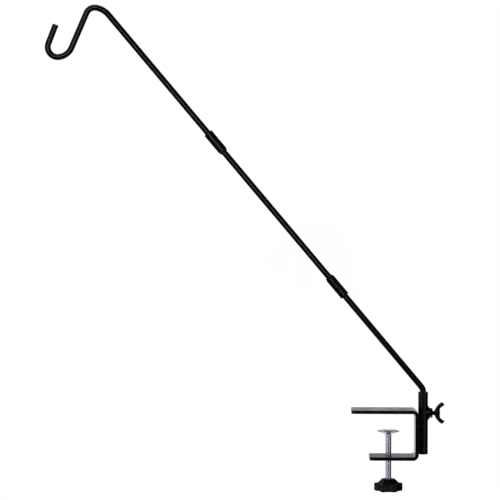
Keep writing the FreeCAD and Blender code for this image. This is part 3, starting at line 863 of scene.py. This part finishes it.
class RAILHOOK_OT_studio(bpy.types.Operator):
    """Set up the camera, the pale floor and plain soft studio light"""
    bl_idname = "railhook.studio"
    bl_label = "Studio"

    def execute(self, context):
        self.set_camera(context)
        self.lay_floor(context)
        self.set_world(context)
        self.hang_lamps(context)
        context.scene.view_settings.view_transform = "Standard"
        return {"FINISHED"}

    def set_camera(self, context):
        """A long lens on the clamp's front, a little above it."""
        studio = context.scene.rail_hook_studio
        camera = bpy.data.objects.new("camera", bpy.data.cameras.new("camera"))
        context.scene.collection.objects.link(camera)
        camera.location = studio.camera_place
        camera.rotation_euler = (math.radians(90) + studio.tilt, 0, -studio.pan)
        camera.data.lens = studio.lens
        context.scene.camera = camera

    def lay_floor(self, context):
        """A pale floor that reads white and keeps the shadow."""
        floor_height = CAD_BOX[0].z - context.scene.rail_hook_studio.floor_drop
        bpy.ops.object.select_all(action="DESELECT")
        bpy.ops.mesh.primitive_grid_add(
            x_subdivisions=2, y_subdivisions=2, size=2 * FLOOR_REACH,
            location=(0, 0, floor_height))
        bpy.ops.object.transform_apply()
        floor = context.active_object
        floor.name = floor.data.name = "studio_floor"
        for point in floor.data.vertices:
            point.co.x = max(-FLOOR_LEFT, min(point.co.x, FLOOR_RIGHT))
            point.co.y = max(point.co.y, -FLOOR_FRONT)
        material, tree, _ = new_material("white_studio_floor")
        rays = add_node(tree, "ShaderNodeLightPath").outputs
        seen = rays["Is Camera Ray"]
        for ray in ("Is Glossy Ray", "Is Transmission Ray"):
            seen = add_node(tree, "ShaderNodeMath", {0: seen, 1: rays[ray]},
                            operation="MAXIMUM").outputs[0]
        share = add_node(tree, "ShaderNodeMath", {0: seen, 1: FLOOR_WHITE_SHARE},
                         operation="MULTIPLY")
        paint = add_node(tree, "ShaderNodeBsdfDiffuse", {"Color": srgb("#F9F9F9") + [1]})
        glow = add_node(tree, "ShaderNodeEmission", {"Strength": FLOOR_WHITE})
        both = add_node(tree, "ShaderNodeMixShader", {
            0: share.outputs[0], 1: paint.outputs["BSDF"], 2: glow.outputs["Emission"]})
        add_node(tree, "ShaderNodeOutputMaterial", {"Surface": both.outputs["Shader"]})
        floor.data.materials.append(material)

    def set_world(self, context):
        """A white backdrop behind, and in front a dark room with a low soft box on each side."""
        world = bpy.data.worlds.new("studio")
        world.use_nodes = True
        tree = world.node_tree
        tree.nodes.clear()
        rays = add_node(tree, "ShaderNodeLightPath").outputs
        towards = add_node(tree, "ShaderNodeTexCoord").outputs["Generated"]
        sides = add_node(tree, "ShaderNodeSeparateXYZ", {"Vector": towards}).outputs
        forward = add_node(tree, "ShaderNodeMath", {0: sides["Y"], 1: -1.0}, operation="MULTIPLY")
        turn = add_node(tree, "ShaderNodeMath", {0: sides["X"], 1: forward.outputs[0]},
                        operation="ARCTAN2")
        round_share = add_node(tree, "ShaderNodeMapRange", {
            "Value": turn.outputs[0], "From Min": -math.pi, "From Max": math.pi})
        walls = add_node(tree, "ShaderNodeValToRGB", {"Fac": round_share.outputs["Result"]})
        stops = walls.color_ramp.elements
        while len(stops) < len(ROOM_TONES):
            stops.new(0.5)
        for stop, (degrees, tone) in zip(stops, ROOM_TONES):
            stop.position = degrees / 360 + 0.5
            stop.color = srgb(tone) + [1]
        height = add_node(tree, "ShaderNodeMath", {0: sides["Z"]}, operation="ABSOLUTE")
        across = add_node(tree, "ShaderNodeVectorMath", {0: towards, 1: LANE_SIDE},
                          operation="DOT_PRODUCT")
        lane = add_node(tree, "ShaderNodeMath", {0: across.outputs["Value"]}, operation="ABSOLUTE")
        measures = {"x": sides["X"], "y": sides["Y"], "z": sides["Z"],
                    "height": height.outputs[0], "lane": lane.outputs[0]}
        zones = {
            name: add_node(tree, "ShaderNodeMapRange", {
                "Value": measures[measure], "From Min": begins, "From Max": full}).outputs["Result"]
            for name, (measure, begins, full) in ROOM_ZONES.items()}
        lit = add_node(tree, "ShaderNodeMath", {0: zones["soft_boxes"], 1: zones["behind"]},
                       operation="MAXIMUM")
        room = add_node(tree, "ShaderNodeMix", {
            "Factor": lit.outputs[0], 6: srgb(DARK_ROOM) + [1], 7: walls.outputs["Color"]},
            data_type="RGBA")
        for tone, (first, *others) in ROOM_LAYERS:
            share = zones[first]
            for name in others:
                share = add_node(tree, "ShaderNodeMath", {0: share, 1: zones[name]},
                                 operation="MULTIPLY").outputs[0]
            room = add_node(tree, "ShaderNodeMix", {
                "Factor": share, 6: room.outputs[2], 7: srgb(tone) + [1]}, data_type="RGBA")
        # Matt surfaces and the camera get plain white all round
        for ray in ("Is Diffuse Ray", "Is Camera Ray"):
            room = add_node(tree, "ShaderNodeMix", {
                "Factor": rays[ray], 6: room.outputs[2], 7: (1, 1, 1, 1)}, data_type="RGBA")
        surround = add_node(tree, "ShaderNodeBackground", {"Color": room.outputs[2]})
        add_node(tree, "ShaderNodeOutputWorld", {"Surface": surround.outputs["Background"]})
        context.scene.world = world

    def hang_lamps(self, context):
        """A large soft box high above, and a row of strip boxes parallel to the pole."""
        centre = (CAD_BOX[0] + CAD_BOX[1]) / 2
        self.hang_box(context, "top_soft_box", TOP_BOX_PLACE, centre,
                      (TOP_BOX_SIDE, TOP_BOX_SIDE), TOP_BOX_WATTS)
        camera_place = Vector(context.scene.rail_hook_studio.camera_place)
        bottom, top = STRIP_ENDS
        size = STRIP_WIDTH, (top - bottom).length / STRIP_BOXES
        for number in range(STRIP_BOXES):
            place = bottom.lerp(top, (number + 0.5) / STRIP_BOXES)
            # Each one faces the part of the pole that mirrors it into the camera
            target = (place + camera_place) / 2
            target.y = 0
            self.hang_box(context, f"strip_box_{number}", place, target, size, STRIP_WATTS,
                          STRIP_LEAN, STRIP_BEAM)

    def hang_box(self, context, name, place, target, size, watts, lean=0, beam=math.pi):
        """A rectangular lamp that faces a target, and leans about the way to it."""
        lamp = bpy.data.lights.new(name, "AREA")
        lamp.shape = "RECTANGLE"
        lamp.size, lamp.size_y = size
        lamp.spread = beam
        lamp.energy = watts
        box = bpy.data.objects.new(name, lamp)
        context.scene.collection.objects.link(box)
        box.location = place
        aim = (target - place).to_track_quat("-Z", "Y")
        box.rotation_euler = (aim @ Quaternion((0, 0, 1), lean)).to_euler()


class RAILHOOK_PT_sidebar(bpy.types.Panel):
    """Lists the hook's pieces, sizes, finishes and studio"""
    bl_idname = "RAILHOOK_PT_sidebar"
    bl_label = "Deck rail hook"
    bl_space_type = "VIEW_3D"
    bl_region_type = "UI"
    bl_category = "Rail Hook"

    def draw(self, context):
        for operator in OPERATORS:
            self.layout.operator(operator.bl_idname)
        for group, settings_name in PROPERTY_GROUPS.items():
            settings = getattr(context.scene, settings_name)
            column = self.layout.column(align=True)
            for name in group.__annotations__:
                column.prop(settings, name)


OPERATORS = (
    RAILHOOK_OT_steelwork,
    RAILHOOK_OT_spindle,
    RAILHOOK_OT_pad,
    RAILHOOK_OT_knob,
    RAILHOOK_OT_wing_screw,
    RAILHOOK_OT_weld_nut,
    RAILHOOK_OT_weld_beads,
    RAILHOOK_OT_studio,
)
PROPERTY_GROUPS = {
    RailHookSizes: "rail_hook_sizes",
    RailHookFinishes: "rail_hook_finishes",
    RailHookStudio: "rail_hook_studio",
}


def register():
    for cls in (*PROPERTY_GROUPS, *OPERATORS, RAILHOOK_PT_sidebar):
        bpy.utils.register_class(cls)
    for group, name in PROPERTY_GROUPS.items():
        setattr(bpy.types.Scene, name, PointerProperty(type=group))


def unregister():
    for name in PROPERTY_GROUPS.values():
        delattr(bpy.types.Scene, name)
    for cls in (RAILHOOK_PT_sidebar, *reversed(OPERATORS), *PROPERTY_GROUPS):
        bpy.utils.unregister_class(cls)


def main():
    register()
    bpy.ops.railhook.steelwork()
    bpy.ops.railhook.spindle()
    bpy.ops.railhook.pad()
    bpy.ops.railhook.knob()
    bpy.ops.railhook.wing_screw()
    bpy.ops.railhook.weld_nut()
    bpy.ops.railhook.weld_beads()
    bpy.ops.railhook.studio()


if __name__ == "__main__":
    main()
